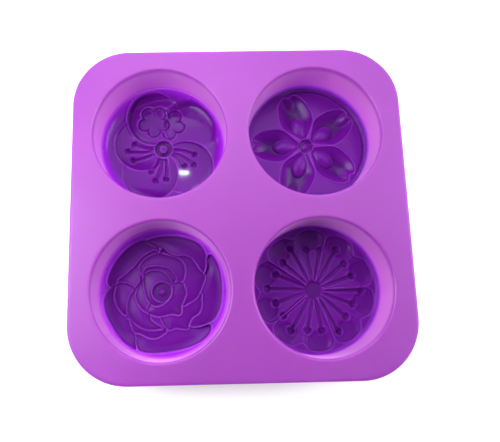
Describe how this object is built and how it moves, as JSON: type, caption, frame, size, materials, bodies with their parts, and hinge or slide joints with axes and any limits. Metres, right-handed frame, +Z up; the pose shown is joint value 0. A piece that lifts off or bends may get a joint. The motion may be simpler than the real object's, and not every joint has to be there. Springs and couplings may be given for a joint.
{
  "type": "silicone soap mould",
  "caption": "Flexible one-piece silicone soap mould: flat rounded-square deck with round flower-floored cups hanging beneath.",
  "frame": {"origin": "centre of the mould in plan, at the level of the flat cup undersides it rests on", "axes": "+Z up out of the cup mouths, +Y towards the pair of cups with the plum blossom and the plain cherry blossom, +X towards the pair with the cherry blossom and the stamened blossom"},
  "size_m": [0.167, 0.167, 0.0325],
  "materials": {
    "silicone": "translucent purple silicone, satin deck and glossy cups"
  },
  "bodies": {
    "root": {"deck": "silicone", "cup_wall_plum": "silicone", "cup_wall_cherry": "silicone", "cup_wall_rose": "silicone", "cup_wall_sakura": "silicone", "cup_floor_plum": "silicone", "cup_floor_cherry": "silicone", "cup_floor_rose": "silicone", "cup_floor_sakura": "silicone"}
  },
  "joints": []
}
